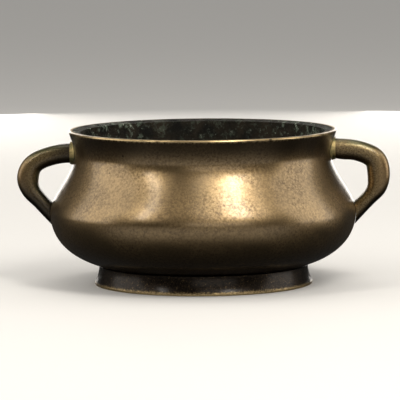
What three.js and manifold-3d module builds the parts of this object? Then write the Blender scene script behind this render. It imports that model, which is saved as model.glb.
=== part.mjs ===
// A cast bronze incense burner: a squat round bowl with a pinched neck, a separately cast ring
// foot under it, and two loop handles cast by themselves. Each handle is brazed and riveted to
// the neck and riveted to the belly, with the rivet heads inside the bowl.
// Millimetres, +Z up, front towards -Y. The origin is on the table, under the middle of the bowl.

import * as THREE from 'three';
import { mergeVertices } from 'three/addons/utils/BufferGeometryUtils.js';
import Module from 'manifold-3d';

const wasm = await Module();
wasm.setup();

// Heights above the table and radii of the bowl's outside
const BASE_HEIGHT = 10;
const SEAT_HEIGHT = 13.3;
const BELLY_HEIGHT = 48.3;
const NECK_HEIGHT = 86.6;
const NECK_TO_RIM = 16.6;
const SPIGOT_RADIUS = 64;
const SEAT_RADIUS = 69.5;
const BELLY_RADIUS = 102.2;
const NECK_RADIUS = 85.3;
const LIP_FLARE = 4.2;

// Wall of the bowl and section of its rim
const WALL = 3.7;
const FLOOR = 4.5;
const FLOOR_RADIUS = 50;
const LIP_ROUNDING = 1.1;
const RIM_LAND = 1.8;
const RIM_BEVEL_DROP = 1.4;

// How far the outside's curves lean before they bend, at each of the heights above
const SEAT_LEAN = [13.6, 3.6];
const BELLY_PULL_DOWN = 22;
const BELLY_PULL_UP = 10.5;
const NECK_PULL_DOWN = 11.5;
const NECK_PULL_UP = 3.8;
const LIP_LEAN = [1.6, 4.1];

// Ring foot
const FOOT_LEDGE = 0.3;
const FOOT_FLARE = 3;
const FOOT_TOE_HEIGHT = 1.4;
const FOOT_TOE_ROUNDING = 0.6;
const FOOT_SOLE_WIDTH = 3.3;
const FOOT_INNER_SHOULDER = 6.4;

// Joints between the castings
const GAP = 0.3;
const BRAZE_LEG = 2.6;
const COLLAR_WIDTH = 2.2;
const COLLAR_EDGE = 0.7;
const COLLAR_LENGTH = 3.4;
const SHANK_RADIUS = 2.7;
const SHANK_CHAMFER = 0.5;
const HEAD_RADIUS = 5.5;
const HEAD_HEIGHT = 2.2;
const HEAD_EDGE = 0.4;
const HEAD_SEAT_DEPTH = 0.12;
const UPPER_RIVET_GRIP = 10;
const LOWER_RIVET_GRIP = 4.4;
const LOWER_RIVET_RISE = 1.5;

// Handles: half their depth front to back, and how square their section is
const HANDLE_HALF_DEPTH = 6.8;
const HANDLE_SQUARENESS = 2.4;

// Middle line of each handle, as [distance out, height, half thickness]. The upper arm is measured
// from the neck and the rest from the belly. The two were fitted by hand and differ by a few mm.
const LEFT_HANDLE = {
  side: -1,
  upperArm: [[0.7, 0.8, 6.4], [12.2, 0.2, 6.5]],
  loop: [[11.1, 32.5, 6.6], [15.4, 22.9, 7.4], [13.2, 13.9, 6.2], [7.6, 7.7, 5.4], [2.6, 2.1, 5.3]],
};
const RIGHT_HANDLE = {
  side: 1,
  upperArm: [[0.7, 3.7, 6.5], [8.8, 2.9, 7], [16.7, 2.3, 6.8]],
  loop: [[12.6, 35.3, 7.2], [15.2, 25.9, 7.6], [14.2, 16.1, 6.7], [9.6, 9.7, 5.2], [6, 6.1, 5.2]],
};
const ARM_END_BEHIND_WALL = 8;
const LOOP_END_BEHIND_WALL = [-12, -13.1, 5.3];

// Facets
const ROUND_SIDES = 60;
const SMALL_SIDES = 16;
const HANDLE_SIDES = 14;
const HANDLE_STEPS_PER_STATION = 4;

// Sizes that follow from the ones above
const RIM_HEIGHT = NECK_HEIGHT + NECK_TO_RIM;
const LIP_RADIUS = NECK_RADIUS + LIP_FLARE;
const NECK_BORE_RADIUS = NECK_RADIUS - WALL;
const HOLE_RADIUS = SHANK_RADIUS + GAP;
const SEAT_TO_HANDLE = WALL - HEAD_SEAT_DEPTH + GAP;

const bronze = (color, roughness) => (
  new THREE.MeshStandardMaterial({ color, roughness, metalness: 1 })
);
const bodyBronze = bronze(0x8c6a38, 0.38);
const footBronze = bronze(0x5a4528, 0.48);
const handleBronze = bronze(0x86703f, 0.42);
const rivetBronze = bronze(0x6b5230, 0.5);
const brazeMetal = bronze(0xb79a55, 0.45);

// Points of a cubic curve in [radius, height], without its first point
function bend(start, lean, pull, end, count) {
  const curve = new THREE.CubicBezierCurve(...[start, lean, pull, end].map(([r, z]) => (
    new THREE.Vector2(r, z)
  )));
  return curve.getPoints(count).slice(1);
}

// A profile turned about the Z axis, with its points running up the outside
function turned(points, sides = ROUND_SIDES) {
  const geometry = new THREE.LatheGeometry(points, sides);
  geometry.rotateX(Math.PI / 2);
  return geometry;
}

// A closed geometry as a solid that can be cut, without the flat triangles of a pole
function toSolid(geometry) {
  const shape = geometry.clone();
  shape.deleteAttribute('normal');
  shape.deleteAttribute('uv');
  const merged = mergeVertices(shape, 1e-4);
  const corners = [];
  const index = merged.index.array;
  for (let i = 0; i < index.length; i += 3) {
    const [a, b, c] = [index[i], index[i + 1], index[i + 2]];
    if (a !== b && b !== c && c !== a) corners.push(a, b, c);
  }
  return new wasm.Manifold(new wasm.Mesh({
    numProp: 3,
    vertProperties: new Float32Array(merged.attributes.position.array),
    triVerts: new Uint32Array(corners),
  }));
}

function toGeometry(solid) {
  const mesh = solid.getMesh();
  const geometry = new THREE.BufferGeometry();
  geometry.setAttribute('position', new THREE.BufferAttribute(mesh.vertProperties, 3));
  geometry.setIndex(new THREE.BufferAttribute(mesh.triVerts, 1));
  geometry.computeVertexNormals();
  return geometry;
}

function namedMesh(name, geometry, material) {
  const mesh = new THREE.Mesh(geometry, material);
  mesh.name = name;
  return mesh;
}

// The bowl's outside from the seat of the foot up to the edge of the lip
function bowlOutside() {
  const seat = [SEAT_RADIUS, SEAT_HEIGHT];
  const belly = [BELLY_RADIUS, BELLY_HEIGHT];
  const neck = [NECK_RADIUS, NECK_HEIGHT];
  const lip = [LIP_RADIUS, RIM_HEIGHT - LIP_ROUNDING];
  const overSeat = [seat[0] + SEAT_LEAN[0], seat[1] + SEAT_LEAN[1]];
  const underLip = [lip[0] - LIP_LEAN[0], lip[1] - LIP_LEAN[1]];
  return [
    new THREE.Vector2(...seat),
    ...bend(seat, overSeat, [belly[0], belly[1] - BELLY_PULL_DOWN], belly, 9),
    ...bend(belly, [belly[0], belly[1] + BELLY_PULL_UP], [neck[0], neck[1] - NECK_PULL_DOWN], neck, 6),
    ...bend(neck, [neck[0], neck[1] + NECK_PULL_UP], underLip, lip, 4),
  ];
}

// The same outside moved inwards by the wall, from the neck down to the belly's foot
function bowlInside(outside) {
  const inside = [];
  for (let i = 1; i < outside.length - 1; i += 1) {
    const along = outside[i + 1].clone().sub(outside[i - 1]).normalize();
    const point = new THREE.Vector2(
      outside[i].x - along.y * WALL,
      outside[i].y + along.x * WALL,
    );
    if (outside[i].y < NECK_HEIGHT) inside.unshift(point);
  }
  return inside;
}

// A solid of the bowl's outside grown by the gap, which cuts what is fitted against the bowl
function bowlEnvelope(outside) {
  const grown = outside.map((point) => new THREE.Vector2(point.x + GAP, point.y));
  const points = [
    new THREE.Vector2(0, grown[0].y),
    ...grown,
    new THREE.Vector2(0, grown[grown.length - 1].y),
  ];
  return toSolid(turned(points));
}

// A straight round cutter along X, from one distance to another on one side of the bowl
function crossCutter(radius, side, from, to, height) {
  const geometry = new THREE.CylinderGeometry(radius, radius, to - from, SMALL_SIDES);
  geometry.rotateZ(Math.PI / 2);
  geometry.translate(side * (from + to) / 2, 0, height);
  return toSolid(geometry);
}

// Where the four rivets sit: the flat that each head is seated on, inside the wall
function rivetPlaces() {
  const places = [];
  for (const [word, handle] of [['left', LEFT_HANDLE], ['right', RIGHT_HANDLE]]) {
    const [, rootUp] = handle.upperArm[0];
    places.push({
      name: `${word}_upper_rivet`,
      side: handle.side,
      height: NECK_HEIGHT + rootUp,
      seat: NECK_BORE_RADIUS + HEAD_SEAT_DEPTH,
      grip: UPPER_RIVET_GRIP,
    });
    places.push({
      name: `${word}_lower_rivet`,
      side: handle.side,
      height: BELLY_HEIGHT + LOWER_RIVET_RISE,
      seat: BELLY_RADIUS - WALL + HEAD_SEAT_DEPTH,
      grip: LOWER_RIVET_GRIP,
    });
  }
  return places;
}

function vessel(outside) {
  const land = LIP_RADIUS - LIP_ROUNDING;
  const round = new THREE.EllipseCurve(land, RIM_HEIGHT - LIP_ROUNDING, LIP_ROUNDING, LIP_ROUNDING,
    0, Math.PI / 2);
  const inside = bowlInside(outside);
  const lowest = inside[inside.length - 1];
  const floorHeight = BASE_HEIGHT + FLOOR;
  const floorCurve = new THREE.QuadraticBezierCurve(
    lowest,
    new THREE.Vector2((lowest.x + FLOOR_RADIUS) / 2, floorHeight),
    new THREE.Vector2(FLOOR_RADIUS, floorHeight),
  );
  const profile = [
    new THREE.Vector2(0, BASE_HEIGHT),
    new THREE.Vector2(SPIGOT_RADIUS, BASE_HEIGHT),
    new THREE.Vector2(SPIGOT_RADIUS, SEAT_HEIGHT),
    ...outside,
    ...round.getPoints(3).slice(1),
    new THREE.Vector2(land - RIM_LAND, RIM_HEIGHT),
    new THREE.Vector2(NECK_BORE_RADIUS, RIM_HEIGHT - RIM_BEVEL_DROP),
    new THREE.Vector2(NECK_BORE_RADIUS, NECK_HEIGHT),
    ...inside,
    ...floorCurve.getPoints(3).slice(1),
    new THREE.Vector2(0, floorHeight),
  ];
  let solid = toSolid(turned(profile));
  for (const { side, height, seat } of rivetPlaces()) {
    const clear = seat - WALL;
    solid = solid.subtract(crossCutter(HEAD_RADIUS + GAP, side, clear, seat, height));
    solid = solid.subtract(crossCutter(HOLE_RADIUS, side, clear, seat + 2 * WALL, height));
  }
  return namedMesh('vessel', toGeometry(solid), bodyBronze);
}

function footRing() {
  const top = SEAT_HEIGHT - GAP;
  const bore = SPIGOT_RADIUS + GAP;
  const shank = SEAT_RADIUS + FOOT_LEDGE;
  const toe = shank + FOOT_FLARE;
  const sole = toe - FOOT_TOE_ROUNDING - FOOT_SOLE_WIDTH;
  const waist = [shank, (top + FOOT_TOE_HEIGHT) / 2];
  const outside = bend([shank, top - FOOT_TOE_ROUNDING], waist,
    [toe - FOOT_FLARE / 3, 2 * FOOT_TOE_HEIGHT], [toe, FOOT_TOE_HEIGHT], 7);
  const profile = [
    new THREE.Vector2(sole, 0),
    new THREE.Vector2(toe - FOOT_TOE_ROUNDING, 0),
    new THREE.Vector2(toe - FOOT_TOE_ROUNDING / 3, FOOT_TOE_ROUNDING / 2),
    ...outside.reverse(),
    new THREE.Vector2(shank, top - FOOT_TOE_ROUNDING),
    new THREE.Vector2(shank - FOOT_TOE_ROUNDING, top),
    new THREE.Vector2(bore, top),
    new THREE.Vector2(bore, FOOT_INNER_SHOULDER),
    new THREE.Vector2((bore + sole) / 2, FOOT_INNER_SHOULDER / 3),
    new THREE.Vector2(sole, 0),
  ];
  return namedMesh('foot_ring', toGeometry(toSolid(turned(profile))), footBronze);
}

// The bead of braze in the corner between the bowl's underside and the foot
function footBrazeSeam() {
  const corner = new THREE.Vector2(SPIGOT_RADIUS, BASE_HEIGHT - GAP);
  const onBase = new THREE.Vector2(corner.x - BRAZE_LEG, corner.y);
  const onFoot = new THREE.Vector2(corner.x, corner.y - BRAZE_LEG);
  const seam = turned([onFoot, corner, onBase, onFoot]);
  return namedMesh('foot_braze_seam', toGeometry(toSolid(seam)), brazeMetal);
}

// A bar swept along a middle line in the XZ plane, thicker or thinner from station to station
function sweptBar(stations, grow) {
  const line = new THREE.CatmullRomCurve3(stations.map(([x, z, half]) => (
    new THREE.Vector3(x, half, z)
  )), false, 'centripetal');
  const steps = (stations.length - 1) * HANDLE_STEPS_PER_STATION;
  const positions = [];
  const corners = [];
  const power = (value) => Math.sign(value) * Math.abs(value) ** (2 / HANDLE_SQUARENESS);
  for (let i = 0; i <= steps; i += 1) {
    const point = line.getPoint(i / steps);
    const along = line.getTangent(i / steps);
    const length = Math.hypot(along.x, along.z);
    for (let j = 0; j < HANDLE_SIDES; j += 1) {
      const angle = (j / HANDLE_SIDES) * 2 * Math.PI;
      const across = power(Math.cos(angle)) * (point.y + grow);
      const depth = power(Math.sin(angle)) * (HANDLE_HALF_DEPTH + grow);
      positions.push(
        point.x - (along.z / length) * across,
        depth,
        point.z + (along.x / length) * across,
      );
    }
  }
  for (let i = 0; i < steps; i += 1) {
    for (let j = 0; j < HANDLE_SIDES; j += 1) {
      const next = (j + 1) % HANDLE_SIDES;
      const [a, b] = [i * HANDLE_SIDES + j, i * HANDLE_SIDES + next];
      const [c, d] = [a + HANDLE_SIDES, b + HANDLE_SIDES];
      corners.push(a, c, b, b, c, d);
    }
  }
  const last = steps * HANDLE_SIDES;
  for (let j = 1; j < HANDLE_SIDES - 1; j += 1) {
    corners.push(0, j, j + 1);
    corners.push(last, last + j + 1, last + j);
  }
  const geometry = new THREE.BufferGeometry();
  geometry.setAttribute('position', new THREE.Float32BufferAttribute(positions, 3));
  geometry.setIndex(corners);
  return toSolid(geometry);
}

// The middle line of a handle, with both ends carried on behind the bowl's wall
function handleStations({ side, upperArm, loop }) {
  const place = (radius, level) => ([out, up, half]) => [side * (radius + out), level + up, half];
  const [, rootUp, rootHalf] = upperArm[0];
  return [
    place(NECK_RADIUS, NECK_HEIGHT)([-ARM_END_BEHIND_WALL, rootUp, rootHalf]),
    ...upperArm.map(place(NECK_RADIUS, NECK_HEIGHT)),
    ...loop.map(place(BELLY_RADIUS, BELLY_HEIGHT)),
    place(BELLY_RADIUS, BELLY_HEIGHT)(LOOP_END_BEHIND_WALL),
  ];
}

function handleCasting(word, handle, envelope) {
  let solid = sweptBar(handleStations(handle), 0).subtract(envelope);
  for (const place of rivetPlaces().filter(({ side }) => side === handle.side)) {
    const face = place.seat + SEAT_TO_HANDLE;
    const bottom = face + place.grip + GAP;
    const hole = crossCutter(HOLE_RADIUS, place.side, face - WALL, bottom, place.height);
    solid = solid.subtract(hole);
  }
  return namedMesh(`${word}_handle`, toGeometry(solid), handleBronze);
}

// The collar of braze round a handle's upper arm, where it meets the neck
function upperBrazeFillet(word, handle, envelope) {
  const [, rootUp, half] = handle.upperArm[0];
  const wide = half + GAP + COLLAR_WIDTH;
  const narrow = half + GAP + COLLAR_EDGE;
  const collar = turned([
    new THREE.Vector2(0, -COLLAR_LENGTH),
    new THREE.Vector2(wide, -COLLAR_LENGTH),
    new THREE.Vector2(wide, 0),
    new THREE.Vector2((wide + narrow) / 2 - COLLAR_EDGE / 2, COLLAR_LENGTH / 2),
    new THREE.Vector2(narrow, COLLAR_LENGTH),
    new THREE.Vector2(0, COLLAR_LENGTH),
  ], 2 * SMALL_SIDES);
  collar.scale(1, HANDLE_HALF_DEPTH / half, 1);
  collar.rotateY(handle.side * Math.PI / 2);
  collar.translate(handle.side * NECK_RADIUS, 0, NECK_HEIGHT + rootUp);
  const solid = toSolid(collar)
    .subtract(sweptBar(handleStations(handle), GAP))
    .subtract(envelope);
  return namedMesh(`${word}_upper_braze_fillet`, toGeometry(solid), brazeMetal);
}

// A round headed rivet along its own Z, with the flat under its head at the origin
function rivet(place) {
  const length = SEAT_TO_HANDLE + place.grip;
  const dome = new THREE.EllipseCurve(0, -GAP - HEAD_EDGE, HEAD_RADIUS, HEAD_HEIGHT - HEAD_EDGE,
    -Math.PI / 2, 0);
  const profile = [
    ...dome.getPoints(4),
    new THREE.Vector2(HEAD_RADIUS, -GAP),
    new THREE.Vector2(SHANK_RADIUS, -GAP),
    new THREE.Vector2(SHANK_RADIUS, length - SHANK_CHAMFER),
    new THREE.Vector2(SHANK_RADIUS - SHANK_CHAMFER, length),
    new THREE.Vector2(0, length),
  ];
  profile[0].x = 0;
  const geometry = toGeometry(toSolid(turned(profile, SMALL_SIDES)));
  const mesh = namedMesh(place.name, geometry, rivetBronze);
  mesh.rotation.y = place.side * Math.PI / 2;
  mesh.position.set(place.side * place.seat, 0, place.height);
  return mesh;
}

const outside = bowlOutside();
const envelope = bowlEnvelope(outside);
const burner = new THREE.Group();
burner.add(vessel(outside), footRing(), footBrazeSeam());
for (const [word, handle] of [['left', LEFT_HANDLE], ['right', RIGHT_HANDLE]]) {
  burner.add(handleCasting(word, handle, envelope), upperBrazeFillet(word, handle, envelope));
}
for (const place of rivetPlaces()) burner.add(rivet(place));

export default burner;
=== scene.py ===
# A cast bronze incense burner with a ring foot and two loop handles, in metres, +Z up.
from math import cos, hypot, pi, radians, sin

import bmesh
import bpy
from mathutils import Matrix, Vector
from mathutils.geometry import interpolate_bezier


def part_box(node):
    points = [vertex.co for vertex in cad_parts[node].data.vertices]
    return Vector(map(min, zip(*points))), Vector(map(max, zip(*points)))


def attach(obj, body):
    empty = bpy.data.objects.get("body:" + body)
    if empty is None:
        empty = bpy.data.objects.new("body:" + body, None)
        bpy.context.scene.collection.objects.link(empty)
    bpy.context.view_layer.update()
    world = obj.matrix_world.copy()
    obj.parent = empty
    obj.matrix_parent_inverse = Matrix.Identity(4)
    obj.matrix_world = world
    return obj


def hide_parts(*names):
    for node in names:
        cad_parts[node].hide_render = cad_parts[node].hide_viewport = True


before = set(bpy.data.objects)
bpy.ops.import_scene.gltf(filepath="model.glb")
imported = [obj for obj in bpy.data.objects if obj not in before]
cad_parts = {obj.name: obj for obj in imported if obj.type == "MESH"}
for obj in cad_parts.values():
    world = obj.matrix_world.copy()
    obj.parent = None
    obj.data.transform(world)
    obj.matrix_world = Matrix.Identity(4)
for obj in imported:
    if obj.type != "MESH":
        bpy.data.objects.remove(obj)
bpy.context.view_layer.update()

# Studio: a pale plain floor, soft boxes of light and a long lens at the photograph's height.
# The camera's distance, height, turn and tilt were fitted to the rim, the foot and the outline.
scene = bpy.context.scene
scene.view_settings.view_transform = "Standard"

CAMERA_DISTANCE = 2.4140
CAMERA_HEIGHT = 0.3060
CAMERA_TURN = radians(3.0)
CAMERA_ROLL = 0.0081
CAMERA_AIM = Vector((-0.00204, 0.0, 0.05557))
CAMERA_LENS = 326.6

camera_data = bpy.data.cameras.new("studio_camera")
camera_data.lens = CAMERA_LENS
camera_data.sensor_width = 36.0
camera_data.clip_end = 20.0
camera = bpy.data.objects.new("studio_camera", camera_data)
scene.collection.objects.link(camera)
scene.camera = camera
camera_place = Vector((
    CAMERA_DISTANCE * sin(CAMERA_TURN),
    -CAMERA_DISTANCE * cos(CAMERA_TURN),
    CAMERA_HEIGHT,
))
facing = (CAMERA_AIM - camera_place).to_track_quat("-Z", "Y").to_matrix().to_4x4()
camera.matrix_world = (
    Matrix.Translation(camera_place) @ facing @ Matrix.Rotation(-CAMERA_ROLL, 4, "Z")
)

FLOOR_HALF = 4.0
floor_form = bmesh.new()
bmesh.ops.create_grid(floor_form, x_segments=1, y_segments=1, size=FLOOR_HALF)
floor_mesh = bpy.data.meshes.new("studio_floor")
floor_form.to_mesh(floor_mesh)
floor_form.free()
floor = bpy.data.objects.new("studio_floor", floor_mesh)
scene.collection.objects.link(floor)
floor_finish = bpy.data.materials.new("pale_floor")
floor_finish.use_nodes = True
floor_shader = floor_finish.node_tree.nodes["Principled BSDF"]
floor_shader.inputs["Base Color"].default_value = (0.62, 0.61, 0.59, 1.0)
floor_shader.inputs["Roughness"].default_value = 0.9
floor_mesh.materials.append(floor_finish)
floor.visible_glossy = False

# The room is light to the floor and dark to the bronze, so that the boxes alone draw its gloss.
# Only the table's glow in front is left in it, which the bronze sees from below, fading deeper.
ROOM_LIGHT = 0.55
ROOM_IN_GLOSS = 0.03
TABLE_GLOW = 0.72
room = bpy.data.worlds.new("studio_room")
room.use_nodes = True
scene.world = room
room_nodes = room.node_tree.nodes
room_links = room.node_tree.links
room_background = room_nodes["Background"]
room_background.inputs["Color"].default_value = (1.0, 0.98, 0.95, 1.0)
outlook = room_nodes.new("ShaderNodeSeparateXYZ")
room_links.new(room_nodes.new("ShaderNodeTexCoord").outputs["Generated"], outlook.inputs["Vector"])
glow_mask = None
for axis, nothing_at, full_at in (("Z", -0.06, -0.24), ("Z", -0.72, -0.20), ("Y", -0.05, -0.60)):
    fade = room_nodes.new("ShaderNodeMapRange")
    fade.interpolation_type = "SMOOTHSTEP"
    fade.inputs["From Min"].default_value = nothing_at
    fade.inputs["From Max"].default_value = full_at
    room_links.new(outlook.outputs[axis], fade.inputs["Value"])
    if glow_mask is None:
        glow_mask = fade.outputs["Result"]
        continue
    product = room_nodes.new("ShaderNodeMath")
    product.operation = "MULTIPLY"
    room_links.new(glow_mask, product.inputs[0])
    room_links.new(fade.outputs["Result"], product.inputs[1])
    glow_mask = product.outputs["Value"]
glow = room_nodes.new("ShaderNodeMapRange")
glow.inputs["To Min"].default_value = ROOM_IN_GLOSS
glow.inputs["To Max"].default_value = TABLE_GLOW
room_links.new(glow_mask, glow.inputs["Value"])
ray_kind = room_nodes.new("ShaderNodeLightPath")
room_level = room_nodes.new("ShaderNodeMapRange")
room_level.inputs["To Min"].default_value = ROOM_LIGHT
room_links.new(glow.outputs["Result"], room_level.inputs["To Max"])
room_links.new(ray_kind.outputs["Is Glossy Ray"], room_level.inputs["Value"])
room_links.new(room_level.outputs["Result"], room_background.inputs["Strength"])

LIGHT_AIM = Vector((0.0, 0.0, 0.055))


def soft_box(name, turn, lift, distance, width, height, power, colour=(1.0, 0.96, 0.9)):
    """Hang a rectangular light, turned to the right of the camera and lifted, in degrees."""
    light = bpy.data.lights.new(name, "AREA")
    light.shape = "RECTANGLE"
    light.size = width
    light.size_y = height
    light.energy = power
    light.color = colour
    lamp = bpy.data.objects.new(name, light)
    scene.collection.objects.link(lamp)
    around = radians(turn) + CAMERA_TURN
    out = Vector((
        sin(around) * cos(radians(lift)),
        -cos(around) * cos(radians(lift)),
        sin(radians(lift)),
    ))
    place = LIGHT_AIM + out * distance
    aim = (LIGHT_AIM - place).to_track_quat("-Z", "Y").to_matrix().to_4x4()
    lamp.matrix_world = Matrix.Translation(place) @ aim


soft_box("box_right_front", 31, 46, 1.3, 0.28, 0.60, 7.6)
soft_box("box_left_front", -49, 38, 1.3, 0.13, 0.62, 3.0)
soft_box("box_fill_front", 26, 46, 1.4, 1.20, 0.70, 4.3)
soft_box("box_low_front", 12, 12, 1.5, 1.20, 0.60, 2.4)
soft_box("panel_left", -92, 24, 1.3, 1.00, 1.20, 6.6)
soft_box("panel_right", 92, 20, 1.3, 0.90, 1.30, 7.0)
soft_box("box_back_left", -166, 12, 1.4, 0.36, 0.80, 3.0)
soft_box("box_back_right", 166, 12, 1.4, 0.36, 0.80, 3.0)
soft_box("box_over", 180, 82, 1.4, 0.90, 0.90, 5.0)

# The bowl: one thin sand cast shell of bronze, turned smooth and rubbed, with a pinched neck,
# a flared lip with a bright worn edge, and a dark bore that incense ash has corroded green.
vessel_low, vessel_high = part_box("vessel")
BELLY_RADIUS = (vessel_high[1] - vessel_low[1]) / 2
RIM_HEIGHT = vessel_high[2]
BASE_HEIGHT = vessel_low[2]
BELLY_HEIGHT = 0.0483
NECK_HEIGHT = 0.0866
NECK_RADIUS = 0.0853
LIP_RADIUS = 0.0895
LIP_ROUNDING = 0.0011
RIM_LAND = 0.0018
RIM_BEVEL_DROP = 0.0014
SEAT_RADIUS = 0.0695
SEAT_HEIGHT = 0.0133
SPIGOT_RADIUS = 0.0640
WALL = 0.0037
FLOOR_THICKNESS = 0.0045
FLOOR_RADIUS = 0.050
GAP = 0.0003
TURNS = 256


def curve_points(start, lean, pull, end, count):
    """Points of a cubic curve in radius and height, without its first point."""
    corners = [Vector((radius, 0.0, height)) for radius, height in (start, lean, pull, end)]
    return [(point.x, point.z) for point in interpolate_bezier(*corners, count + 1)[1:]]


def bowl_outside():
    """The bowl's outside from the seat of the foot to the edge of the lip."""
    seat = (SEAT_RADIUS, SEAT_HEIGHT)
    belly = (BELLY_RADIUS, BELLY_HEIGHT)
    neck = (NECK_RADIUS, NECK_HEIGHT)
    lip = (LIP_RADIUS, RIM_HEIGHT - LIP_ROUNDING)
    return [
        seat,
        *curve_points(seat, (seat[0] + 0.0136, seat[1] + 0.0036), (belly[0], belly[1] - 0.022),
                      belly, 40),
        *curve_points(belly, (belly[0], belly[1] + 0.0105), (neck[0], neck[1] - 0.0115), neck, 40),
        *curve_points(neck, (neck[0], neck[1] + 0.0038), (lip[0] - 0.0016, lip[1] - 0.0041),
                      lip, 18),
    ]


def bowl_inside(outside):
    """The outside moved inwards by the wall, from the neck down."""
    inside = []
    for before, (radius, height), after in zip(outside, outside[1:], outside[2:]):
        run, rise = after[0] - before[0], after[1] - before[1]
        length = hypot(run, rise)
        if height < NECK_HEIGHT:
            inside.append((radius - rise / length * WALL, height + run / length * WALL))
    return inside[::-1]


def spun_form(profile, turns=TURNS):
    """Spin an open or closed profile of radius and height about the Z axis into a bmesh."""
    form = bmesh.new()
    points = [form.verts.new((radius, 0.0, height)) for radius, height in profile]
    edges = [form.edges.new(pair) for pair in zip(points, points[1:])]
    bmesh.ops.spin(form, geom=points + edges, cent=(0, 0, 0), axis=(0, 0, 1), angle=2 * pi,
                   steps=turns, use_merge=True)
    bmesh.ops.remove_doubles(form, verts=form.verts, dist=1e-6)
    bmesh.ops.recalc_face_normals(form, faces=form.faces)
    return form


def finished_piece(name, form, materials, sharp_from=32):
    """Turn a bmesh into a smooth shaded object with its materials."""
    mesh = bpy.data.meshes.new(name)
    for face in form.faces:
        face.smooth = True
    form.to_mesh(mesh)
    form.free()
    mesh.set_sharp_from_angle(angle=radians(sharp_from))
    for material in materials:
        mesh.materials.append(material)
    piece = bpy.data.objects.new(name, mesh)
    scene.collection.objects.link(piece)
    return piece


def value_group(name, inputs, outputs):
    """Start a node group with named sockets, given as name, socket type and default."""
    group = bpy.data.node_groups.new(name, "ShaderNodeTree")
    for label, kind, default in inputs:
        socket = group.interface.new_socket(label, in_out="INPUT", socket_type=kind)
        if default is not None:
            socket.default_value = default
    for label, kind in outputs:
        group.interface.new_socket(label, in_out="OUTPUT", socket_type=kind)
    return group, group.nodes.new("NodeGroupInput"), group.nodes.new("NodeGroupOutput")


def noise(tree, where, scale, detail, roughness, distortion=0.0):
    """Place a noise texture. Its scale is a number or the socket that gives it."""
    texture = tree.nodes.new("ShaderNodeTexNoise")
    texture.inputs["Detail"].default_value = detail
    texture.inputs["Roughness"].default_value = roughness
    texture.inputs["Distortion"].default_value = distortion
    if isinstance(scale, (int, float)):
        texture.inputs["Scale"].default_value = scale
    else:
        tree.links.new(scale, texture.inputs["Scale"])
    tree.links.new(where, texture.inputs["Vector"])
    return texture.outputs["Fac"]


def stretched(tree, value, low, high, start=0.0, end=1.0):
    """Map a value from low..high smoothly on to start..end."""
    node = tree.nodes.new("ShaderNodeMapRange")
    node.interpolation_type = "SMOOTHSTEP"
    node.inputs["From Min"].default_value = low
    node.inputs["From Max"].default_value = high
    node.inputs["To Min"].default_value = start
    node.inputs["To Max"].default_value = end
    tree.links.new(value, node.inputs["Value"])
    return node.outputs["Result"]


def sums(tree, operation, first, second):
    """Place a math node. Each side is a number or a socket."""
    node = tree.nodes.new("ShaderNodeMath")
    node.operation = operation
    for socket, value in zip(node.inputs, (first, second)):
        if isinstance(value, (int, float)):
            socket.default_value = value
        else:
            tree.links.new(value, socket)
    return node.outputs["Value"]


def blended(tree, mask, first, second, mode="MIX"):
    """Mix two colours by a mask. Each colour is a tuple or a socket."""
    node = tree.nodes.new("ShaderNodeMix")
    node.data_type = "RGBA"
    node.blend_type = mode
    colours = [socket for socket in node.inputs if socket.type == "RGBA"]
    for socket, value in zip(colours, (first, second)):
        if isinstance(value, tuple):
            socket.default_value = (*value, 1.0)
        else:
            tree.links.new(value, socket)
    if isinstance(mask, (int, float)):
        node.inputs["Factor"].default_value = mask
    else:
        tree.links.new(mask, node.inputs["Factor"])
    return next(socket for socket in node.outputs if socket.type == "RGBA")


# Old rubbed bronze: broad cloudy patches, a fine dark and gold mottle, and pinhead specks.
cast_bronze, given, shown = value_group(
    "cast_bronze_surface",
    [("Vector", "NodeSocketVector", None), ("Patch Scale", "NodeSocketFloat", 45.0),
     ("Grain Scale", "NodeSocketFloat", 900.0)],
    [("Patches", "NodeSocketFloat"), ("Mottle", "NodeSocketFloat"),
     ("Specks", "NodeSocketFloat"), ("Relief", "NodeSocketFloat")],
)
place = given.outputs["Vector"]
patches = stretched(cast_bronze, noise(cast_bronze, place, given.outputs["Patch Scale"], 5, 0.62, 0.3),
                    0.36, 0.64)
grain = noise(cast_bronze, place, given.outputs["Grain Scale"], 6, 0.75)
mottle = stretched(cast_bronze, grain, 0.36, 0.64)
fine_scale = sums(cast_bronze, "MULTIPLY", given.outputs["Grain Scale"], 1.4)
specks = stretched(cast_bronze, noise(cast_bronze, place, fine_scale, 2, 0.5), 0.62, 0.72)
relief = sums(cast_bronze, "SUBTRACT", grain, sums(cast_bronze, "MULTIPLY", specks, 0.4))
for label, value in (("Patches", patches), ("Mottle", mottle), ("Specks", specks),
                     ("Relief", relief)):
    cast_bronze.links.new(value, shown.inputs[label])


WAX_ROUGHNESS = 0.20


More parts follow.
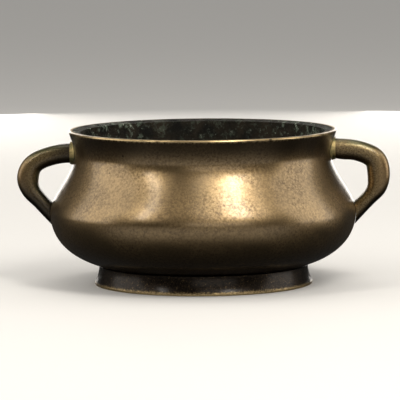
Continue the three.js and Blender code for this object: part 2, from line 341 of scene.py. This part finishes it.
def bronze_material(name, roughness_range, coat=0.0, patch_scale=45.0, grain_scale=900.0):
    """Start a bronze: its tree, shader, object coordinates, height and the surface group."""
    material = bpy.data.materials.new(name)
    material.use_nodes = True
    tree = material.node_tree
    shader = tree.nodes["Principled BSDF"]
    shader.inputs["Metallic"].default_value = 1.0
    shader.inputs["Coat Weight"].default_value = coat
    shader.inputs["Coat Roughness"].default_value = WAX_ROUGHNESS
    where = tree.nodes.new("ShaderNodeTexCoord").outputs["Object"]
    split = tree.nodes.new("ShaderNodeSeparateXYZ")
    tree.links.new(where, split.inputs["Vector"])
    surface = tree.nodes.new("ShaderNodeGroup")
    surface.node_tree = cast_bronze
    surface.inputs["Patch Scale"].default_value = patch_scale
    surface.inputs["Grain Scale"].default_value = grain_scale
    tree.links.new(where, surface.inputs["Vector"])
    wear = sums(tree, "MULTIPLY_ADD", surface.outputs["Mottle"], 0.5)
    wear.node.inputs[2].default_value = 0.0
    tree.links.new(sums(tree, "MULTIPLY", surface.outputs["Patches"], 0.5), wear.node.inputs[2])
    low, high = roughness_range
    tree.links.new(stretched(tree, wear, 0.1, 0.9, high, low), shader.inputs["Roughness"])
    return material, tree, shader, where, split.outputs, surface.outputs


def add_bump(tree, shader, height, distance, strength=1.0):
    """Feed a height to the shader's normal through a bump node."""
    bump = tree.nodes.new("ShaderNodeBump")
    bump.inputs["Distance"].default_value = distance
    bump.inputs["Strength"].default_value = strength
    tree.links.new(height, bump.inputs["Height"])
    tree.links.new(bump.outputs["Normal"], shader.inputs["Normal"])


PATINA_DARK = (0.130, 0.085, 0.040)
PATINA_GOLD = (0.330, 0.228, 0.110)
SPECK_DARK = (0.040, 0.026, 0.013)
RUBBED_GOLD = (0.640, 0.470, 0.230)
# Dark brown for the painted shade on the low belly and under the lip.
PAINTED_SHADE_BROWN = (0.050, 0.036, 0.020)

outside_line = bowl_outside()
body_bronze, tree, shader, where, level, skin = bronze_material("bowl_bronze", (0.29, 0.43), 0.6, 45.0, 620.0)
colour = blended(tree, skin["Mottle"], PATINA_DARK, PATINA_GOLD)
colour = blended(tree, sums(tree, "MULTIPLY", skin["Patches"], 0.45), colour, PATINA_GOLD)
colour = blended(tree, sums(tree, "MULTIPLY", skin["Specks"], 0.5), colour, SPECK_DARK)
# Painted shade: the belly is darkened towards the foot.
painted_shade_low_belly = stretched(tree, level["Z"], 0.016, 0.036, 0.70, 0.0)
colour = blended(tree, painted_shade_low_belly, colour, PAINTED_SHADE_BROWN)
# Painted shade: the neck and the underside of the lip are darkened.
painted_shade_under_lip = stretched(tree, level["Z"], NECK_HEIGHT - 0.002, RIM_HEIGHT - 0.005, 0.0, 0.80)
colour = blended(tree, painted_shade_under_lip, colour, PAINTED_SHADE_BROWN)
ragged = sums(tree, "MULTIPLY_ADD", skin["Mottle"], 0.0012)
tree.links.new(level["Z"], ragged.node.inputs[2])
worn_edge = stretched(tree, ragged, RIM_HEIGHT - 0.0017, RIM_HEIGHT - 0.0002)
rubbed_unevenly = stretched(tree, skin["Patches"], 0.1, 0.9, 0.45, 1.0)
worn_edge = sums(tree, "MULTIPLY", worn_edge, rubbed_unevenly)
colour = blended(tree, worn_edge, colour, RUBBED_GOLD)

# Old knocks on the front, and last a broad grey spot that is a painted reflection, each as turn from the front,
# height and size, and how dark it is
KNOCKS_AND_PAINTED_REFLECTION = (
    (32.5, 0.1024, 0.0016, 0.85), (-34.0, 0.0917, 0.0011, 0.80), (20.8, 0.0587, 0.0009, 0.75),
    (21.5, 0.0536, 0.0010, 0.75), (9.0, 0.0579, 0.0034, 0.35),
)


def wall_radius(height):
    """The bowl's outside radius at a height, between the nearest points of its outline."""
    for (radius, low), (next_radius, high) in zip(outside_line, outside_line[1:]):
        if low <= height <= high:
            return radius + (next_radius - radius) * (height - low) / (high - low)
    return outside_line[-1][0]


for turn, height, size, darkness in KNOCKS_AND_PAINTED_REFLECTION:
    away = tree.nodes.new("ShaderNodeVectorMath")
    away.operation = "DISTANCE"
    away.inputs[1].default_value = (
        wall_radius(height) * sin(radians(turn)), -wall_radius(height) * cos(radians(turn)), height,
    )
    tree.links.new(where, away.inputs[0])
    mark = stretched(tree, away.outputs["Value"], size * 0.4, size, darkness, 0.0)
    colour = blended(tree, mark, colour, SPECK_DARK)
tree.links.new(colour, shader.inputs["Base Color"])
add_bump(tree, shader, skin["Relief"], 0.00012, 0.6)

BORE_DARK = (0.008, 0.008, 0.006)
BORE_BROWN = (0.026, 0.020, 0.012)
VERDIGRIS = (0.130, 0.170, 0.120)
CHALK = (0.50, 0.52, 0.42)

bore_bronze, tree, shader, where, level, skin = bronze_material("bore_bronze", (0.50, 0.80), 0.0, 60.0)
colour = blended(tree, skin["Patches"], BORE_DARK, BORE_BROWN)
green = stretched(tree, noise(tree, where, 170.0, 8, 0.75, 0.3), 0.51, 0.62)
from_middle = sums(tree, "ABSOLUTE", level["X"], 0.0)
green = sums(tree, "MULTIPLY", green, stretched(tree, from_middle, 0.030, 0.070, 0.30, 1.0))
colour = blended(tree, sums(tree, "MULTIPLY", green, 0.8), colour, VERDIGRIS)
chalky = stretched(tree, noise(tree, where, 520.0, 5, 0.65), 0.57, 0.64)
chalky = sums(tree, "MULTIPLY", chalky, green)
colour = blended(tree, chalky, colour, CHALK)
tree.links.new(colour, shader.inputs["Base Color"])
tree.links.new(stretched(tree, green, 0.0, 1.0, 0.75, 0.1), shader.inputs["Metallic"])
add_bump(tree, shader, skin["Relief"], 0.0003, 0.8)

inside_line = bowl_inside(outside_line)
land_radius = LIP_RADIUS - LIP_ROUNDING
lip_arc = [
    (land_radius + LIP_ROUNDING * cos(step * pi / 12),
     RIM_HEIGHT - LIP_ROUNDING + LIP_ROUNDING * sin(step * pi / 12))
    for step in range(1, 7)
]
floor_height = BASE_HEIGHT + FLOOR_THICKNESS
lowest = inside_line[-1]
floor_lean = ((lowest[0] + FLOOR_RADIUS) / 2, floor_height)
bore_line = [
    (NECK_RADIUS - WALL, RIM_HEIGHT - RIM_BEVEL_DROP),
    (NECK_RADIUS - WALL, (RIM_HEIGHT + NECK_HEIGHT) / 2),
    (NECK_RADIUS - WALL, NECK_HEIGHT),
    *inside_line,
    *curve_points(lowest, floor_lean, floor_lean, (FLOOR_RADIUS, floor_height), 12),
    (0.0, floor_height),
]
vessel_profile = [
    (0.0, BASE_HEIGHT),
    (SPIGOT_RADIUS, BASE_HEIGHT),
    (SPIGOT_RADIUS, SEAT_HEIGHT),
    *outside_line,
    *lip_arc,
    (land_radius - RIM_LAND, RIM_HEIGHT),
    *bore_line,
]
vessel_form = spun_form(vessel_profile)
for face in vessel_form.faces:
    middle = face.calc_center_median()
    across = hypot(middle.x, middle.y)
    in_bore = middle.z > BASE_HEIGHT + FLOOR_THICKNESS / 2 and face.normal.z > -0.9 and (
        face.normal.x * middle.x + face.normal.y * middle.y < 0 or face.normal.z > 0.99
    )
    face.material_index = 1 if in_bore and across < land_radius - RIM_LAND else 0
bowl = finished_piece("bowl", vessel_form, [body_bronze, bore_bronze])
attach(bowl, "root")
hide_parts("vessel")

# The ring foot: cast by itself in the same bronze, slipped over the bowl's spigot and brazed.
# Its waist is coloured nearly black, and its rounded toe is rubbed bright.
foot_low, foot_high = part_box("foot_ring")
FOOT_TOP = foot_high[2]
FOOT_TOE_RADIUS = foot_high[1]
FOOT_FLARE = 0.003
FOOT_TOE_HEIGHT = 0.0014
FOOT_ROUNDING = 0.0006
FOOT_SOLE_WIDTH = 0.0033
FOOT_DARK = (0.006, 0.005, 0.004)
FOOT_BROWN = (0.030, 0.021, 0.014)

foot_bronze, tree, shader, where, level, skin = bronze_material("foot_bronze", (0.34, 0.50), 0.25)
colour = blended(tree, skin["Mottle"], FOOT_DARK, FOOT_BROWN)
colour = blended(tree, sums(tree, "MULTIPLY", skin["Specks"], 0.5), colour, PATINA_GOLD)
ragged = sums(tree, "MULTIPLY_ADD", skin["Mottle"], -0.0012)
tree.links.new(level["Z"], ragged.node.inputs[2])
rubbed_toe = stretched(tree, ragged, -0.0004, 0.0022, 0.90, 0.0)
colour = blended(tree, rubbed_toe, colour, RUBBED_GOLD)
tree.links.new(colour, shader.inputs["Base Color"])
add_bump(tree, shader, skin["Relief"], 0.00015, 0.7)

shank = FOOT_TOE_RADIUS - FOOT_FLARE
sole_inner = FOOT_TOE_RADIUS - FOOT_ROUNDING - FOOT_SOLE_WIDTH
foot_bore = SPIGOT_RADIUS + GAP
flare_line = curve_points(
    (shank, FOOT_TOP - FOOT_ROUNDING), (shank, (FOOT_TOP + FOOT_TOE_HEIGHT) / 2),
    (FOOT_TOE_RADIUS - FOOT_FLARE / 3, 2 * FOOT_TOE_HEIGHT), (FOOT_TOE_RADIUS, FOOT_TOE_HEIGHT), 20,
)
toe_line = curve_points(
    (FOOT_TOE_RADIUS, FOOT_TOE_HEIGHT), (FOOT_TOE_RADIUS, FOOT_TOE_HEIGHT / 2),
    (FOOT_TOE_RADIUS, 0.0), (FOOT_TOE_RADIUS - FOOT_ROUNDING, 0.0), 6,
)
foot_profile = [
    (foot_bore, FOOT_TOP),
    (shank - FOOT_ROUNDING, FOOT_TOP),
    (shank, FOOT_TOP - FOOT_ROUNDING),
    *flare_line,
    *toe_line,
    (sole_inner, 0.0),
    *curve_points((sole_inner, 0.0), (sole_inner, 0.0), (foot_bore, 0.003), (foot_bore, 0.0064), 10),
    (foot_bore, FOOT_TOP),
]
foot = finished_piece("foot", spun_form(foot_profile), [foot_bronze])
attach(foot, "root")
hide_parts("foot_ring")

# The braze that holds the foot: a dull yellow bead run into the corner under the bowl.
# The same metal shows as a collar round the root of each handle.
BRAZE_LEG = 0.0026
BRAZE_YELLOW = (0.560, 0.440, 0.200)
BRAZE_GREEN = (0.200, 0.215, 0.110)

braze_metal, tree, shader, where, level, skin = bronze_material("braze_metal", (0.42, 0.62), 0.0, 180.0, 700.0)
colour = blended(tree, skin["Patches"], BRAZE_YELLOW, BRAZE_GREEN)
colour = blended(tree, sums(tree, "MULTIPLY", skin["Mottle"], 0.4), colour, PATINA_DARK)
tree.links.new(colour, shader.inputs["Base Color"])
add_bump(tree, shader, skin["Relief"], 0.0003, 0.8)

bead_radius = SPIGOT_RADIUS
bead_top = BASE_HEIGHT - GAP
bead_profile = [
    (bead_radius, bead_top - BRAZE_LEG),
    (bead_radius, bead_top),
    (bead_radius - BRAZE_LEG, bead_top),
    *curve_points((bead_radius - BRAZE_LEG, bead_top),
                  (bead_radius - BRAZE_LEG / 3, bead_top - BRAZE_LEG / 6),
                  (bead_radius - BRAZE_LEG / 6, bead_top - BRAZE_LEG / 3),
                  (bead_radius, bead_top - BRAZE_LEG), 6),
]
bead = finished_piece("foot_braze_bead", spun_form(bead_profile), [braze_metal])
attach(bead, "root")
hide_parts("foot_braze_seam")

# The handles: two solid loops cast by themselves and fitted by hand, so that they differ a little.
# Each is thick at its outer bend, green on top, worn brown outside, and cut to the bowl's wall.
HANDLE_HALF_DEPTH = 0.0068
HANDLE_SQUARENESS = 2.4
HANDLE_SIDES = 48
HANDLE_STEPS = 14
HANDLE_EDGE = 0.0006
EASING_PASSES = 30
LEFT_ARM = [(-8, 0.8, 6.4), (0.7, 0.8, 6.4), (12.2, 0.2, 6.5)]
LEFT_LOOP = [(11.1, 32.5, 6.6), (15.4, 22.9, 7.4), (13.2, 13.9, 6.2), (7.6, 7.7, 5.4),
             (2.6, 2.1, 5.3), (-12, -13.1, 5.3)]
RIGHT_ARM = [(-8, 3.7, 6.5), (0.7, 3.7, 6.5), (8.8, 2.9, 7), (16.7, 2.3, 6.8)]
RIGHT_LOOP = [(12.6, 35.3, 7.2), (15.2, 25.9, 7.6), (14.2, 16.1, 6.7), (9.6, 9.7, 5.2),
              (6, 6.1, 5.2), (-12, -13.1, 5.3)]
MILLIMETRE = 0.001
HANDLE_BROWN = (0.085, 0.054, 0.026)
HANDLE_GOLD = (0.270, 0.196, 0.088)
HANDLE_GREEN = (0.150, 0.155, 0.080)
# Handle shade colour: painted shade on downward faces and on the left handle.
HANDLE_PAINTED_SHADE = (0.020, 0.018, 0.014)
WORN_BEND = (0.420, 0.270, 0.130)

handle_bronze, tree, shader, where, level, skin = bronze_material("handle_bronze", (0.34, 0.48), 0.4, 70.0)
colour = blended(tree, skin["Mottle"], HANDLE_BROWN, HANDLE_GOLD)
facing_up = tree.nodes.new("ShaderNodeSeparateXYZ")
tree.links.new(tree.nodes.new("ShaderNodeNewGeometry").outputs["Normal"], facing_up.inputs["Vector"])
green_top = sums(tree, "MULTIPLY", stretched(tree, facing_up.outputs["Z"], 0.1, 0.9),
                 stretched(tree, skin["Patches"], 0.0, 0.8, 0.25, 0.8))
colour = blended(tree, green_top, colour, HANDLE_GREEN)
worn_bend = stretched(tree, sums(tree, "ABSOLUTE", level["X"], 0.0), 0.112, 0.124, 0.0, 0.45)
colour = blended(tree, worn_bend, colour, WORN_BEND)
# Painted shade: faces that turn downwards are darkened.
painted_shade_underside = stretched(tree, facing_up.outputs["Z"], -0.6, 0.1, 0.90, 0.0)
colour = blended(tree, painted_shade_underside, colour, HANDLE_PAINTED_SHADE)
facing_bowl = sums(tree, "MULTIPLY", level["X"], facing_up.outputs["X"])
green_inside = sums(tree, "MULTIPLY", stretched(tree, facing_bowl, -0.100, -0.030, 0.70, 0.0),
                    stretched(tree, skin["Patches"], 0.3, 0.8))
colour = blended(tree, green_inside, colour, VERDIGRIS)
# Painted shade: the left handle is darkened near the bowl and low down.
on_left = sums(tree, "LESS_THAN", level["X"], 0.0)
for axis, full_at, nothing_at in (("X", -0.088, -0.112), ("Z", 0.054, 0.078)):
    painted_shade_left_handle = stretched(tree, level[axis], min(full_at, nothing_at), max(full_at, nothing_at),
                     *((0.75, 0.05) if full_at < nothing_at else (0.05, 0.75)))
    colour = blended(tree, sums(tree, "MULTIPLY", painted_shade_left_handle, on_left), colour, HANDLE_PAINTED_SHADE)
colour = blended(tree, sums(tree, "MULTIPLY", skin["Specks"], 0.6), colour, SPECK_DARK)
tree.links.new(colour, shader.inputs["Base Color"])
add_bump(tree, shader, skin["Relief"], 0.00015, 0.7)


def catmull_rom(points, steps):
    """Smooth values through the points with centripetal spacing, steps to each stretch."""
    ends = [2 * points[0] - points[1], *points, 2 * points[-1] - points[-2]]
    line = []
    for p0, p1, p2, p3 in zip(ends, ends[1:], ends[2:], ends[3:]):
        t0 = 0.0
        t1 = t0 + (p1 - p0).length ** 0.5
        t2 = t1 + (p2 - p1).length ** 0.5
        t3 = t2 + (p3 - p2).length ** 0.5
        for step in range(steps):
            t = t1 + (t2 - t1) * step / steps
            a1 = p0.lerp(p1, (t - t0) / (t1 - t0))
            a2 = p1.lerp(p2, (t - t1) / (t2 - t1))
            a3 = p2.lerp(p3, (t - t2) / (t3 - t2))
            b1 = a1.lerp(a2, (t - t0) / (t2 - t0))
            b2 = a2.lerp(a3, (t - t1) / (t3 - t1))
            line.append(b1.lerp(b2, (t - t1) / (t2 - t1)))
    return [*line, points[-1]]


def handle_line(side, arm, loop):
    """The middle line of a handle, as vectors of X, half thickness and height."""
    stations = [(NECK_RADIUS, NECK_HEIGHT, station) for station in arm]
    stations += [(BELLY_RADIUS, BELLY_HEIGHT, station) for station in loop]
    points = [
        Vector((side * (radius + out * MILLIMETRE), half * MILLIMETRE, height + up * MILLIMETRE))
        for radius, height, (out, up, half) in stations
    ]
    line = catmull_rom(points, HANDLE_STEPS)
    for _ in range(EASING_PASSES):
        middle = [(a + 2 * b + c) / 4 for a, b, c in zip(line, line[1:], line[2:])]
        line = [line[0], *middle, line[-1]]
    return line


def rounded_power(value):
    """One side of the handle's slightly squared round section."""
    return (1 if value > 0 else -1) * abs(value) ** (2 / HANDLE_SQUARENESS)


def swept_form(line):
    """Extrude a section ring along a middle line in the XZ plane and close both ends."""
    form = bmesh.new()
    ring = bmesh.ops.create_circle(form, cap_ends=False, radius=1.0, segments=HANDLE_SIDES)["verts"]
    section = [(rounded_power(vert.co.x), rounded_power(vert.co.y)) for vert in ring]
    edges = list(form.edges)
    for index, point in enumerate(line):
        before, after = line[max(index - 1, 0)], line[min(index + 1, len(line) - 1)]
        run, rise = after.x - before.x, after.z - before.z
        length = hypot(run, rise)
        if index:
            made = bmesh.ops.extrude_edge_only(form, edges=edges)["geom"]
            ring = [item for item in made if isinstance(item, bmesh.types.BMVert)]
            edges = [item for item in made if isinstance(item, bmesh.types.BMEdge)]
            edges = [edge for edge in edges if all(vert in ring for vert in edge.verts)]
        for vert, (across, depth) in zip(ring, section):
            vert.co = (
                point.x - rise / length * across * point.y,
                depth * HANDLE_HALF_DEPTH,
                point.z + run / length * across * point.y,
            )
    bmesh.ops.holes_fill(form, edges=[edge for edge in form.edges if edge.is_boundary], sides=0)
    bmesh.ops.recalc_face_normals(form, faces=form.faces)
    return form


def cut_by_bowl(piece):
    """Cut a piece to the bowl's wall, with the fitting gap, and ease the cut edge."""
    grown = [(radius + GAP, height) for radius, height in outside_line]
    cutter_line = [(0.0, grown[0][1]), *grown, (0.0, grown[-1][1])]
    cutter = finished_piece("bowl_cutter", spun_form(cutter_line), [])
    cut = piece.modifiers.new("fit_to_bowl", "BOOLEAN")
    cut.operation = "DIFFERENCE"
    cut.solver = "EXACT"
    cut.object = cutter
    ease = piece.modifiers.new("eased_edge", "BEVEL")
    ease.width = HANDLE_EDGE
    ease.segments = 3
    ease.limit_method = "ANGLE"
    ease.angle_limit = radians(40)
    graph = bpy.context.evaluated_depsgraph_get()
    shape = bpy.data.meshes.new_from_object(piece.evaluated_get(graph))
    piece.modifiers.clear()
    piece.data = shape
    shape.set_sharp_from_angle(angle=radians(40))
    bpy.data.objects.remove(cutter, do_unlink=True)


for side, word, arm, loop in ((-1, "left", LEFT_ARM, LEFT_LOOP), (1, "right", RIGHT_ARM, RIGHT_LOOP)):
    handle = finished_piece(f"{word}_loop_handle", swept_form(handle_line(side, arm, loop)),
                            [handle_bronze])
    cut_by_bowl(handle)
    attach(handle, "root")
    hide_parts(f"{word}_handle")

# The braze collars and the rivets: the collars are run round the arms where they meet the neck,
# and the rivets' round heads are hammered down inside the bowl.
rivet_bronze, tree, shader, where, level, skin = bronze_material("rivet_bronze", (0.45, 0.70), 0.0, 200.0, 700.0)
colour = blended(tree, skin["Mottle"], BORE_DARK, FOOT_BROWN)
green = stretched(tree, noise(tree, where, 300.0, 5, 0.6), 0.52, 0.62, 0.0, 0.7)
colour = blended(tree, green, colour, VERDIGRIS)
tree.links.new(colour, shader.inputs["Base Color"])
add_bump(tree, shader, skin["Relief"], 0.0003, 0.8)

for node in ("left_upper_braze_fillet", "right_upper_braze_fillet"):
    collar = bpy.data.objects[node]
    collar.data.materials.clear()
    collar.data.materials.append(braze_metal)
for node in ("left_upper_rivet", "left_lower_rivet", "right_upper_rivet", "right_lower_rivet"):
    rivet = bpy.data.objects[node]
    rivet.data.materials.clear()
    rivet.data.materials.append(rivet_bronze)
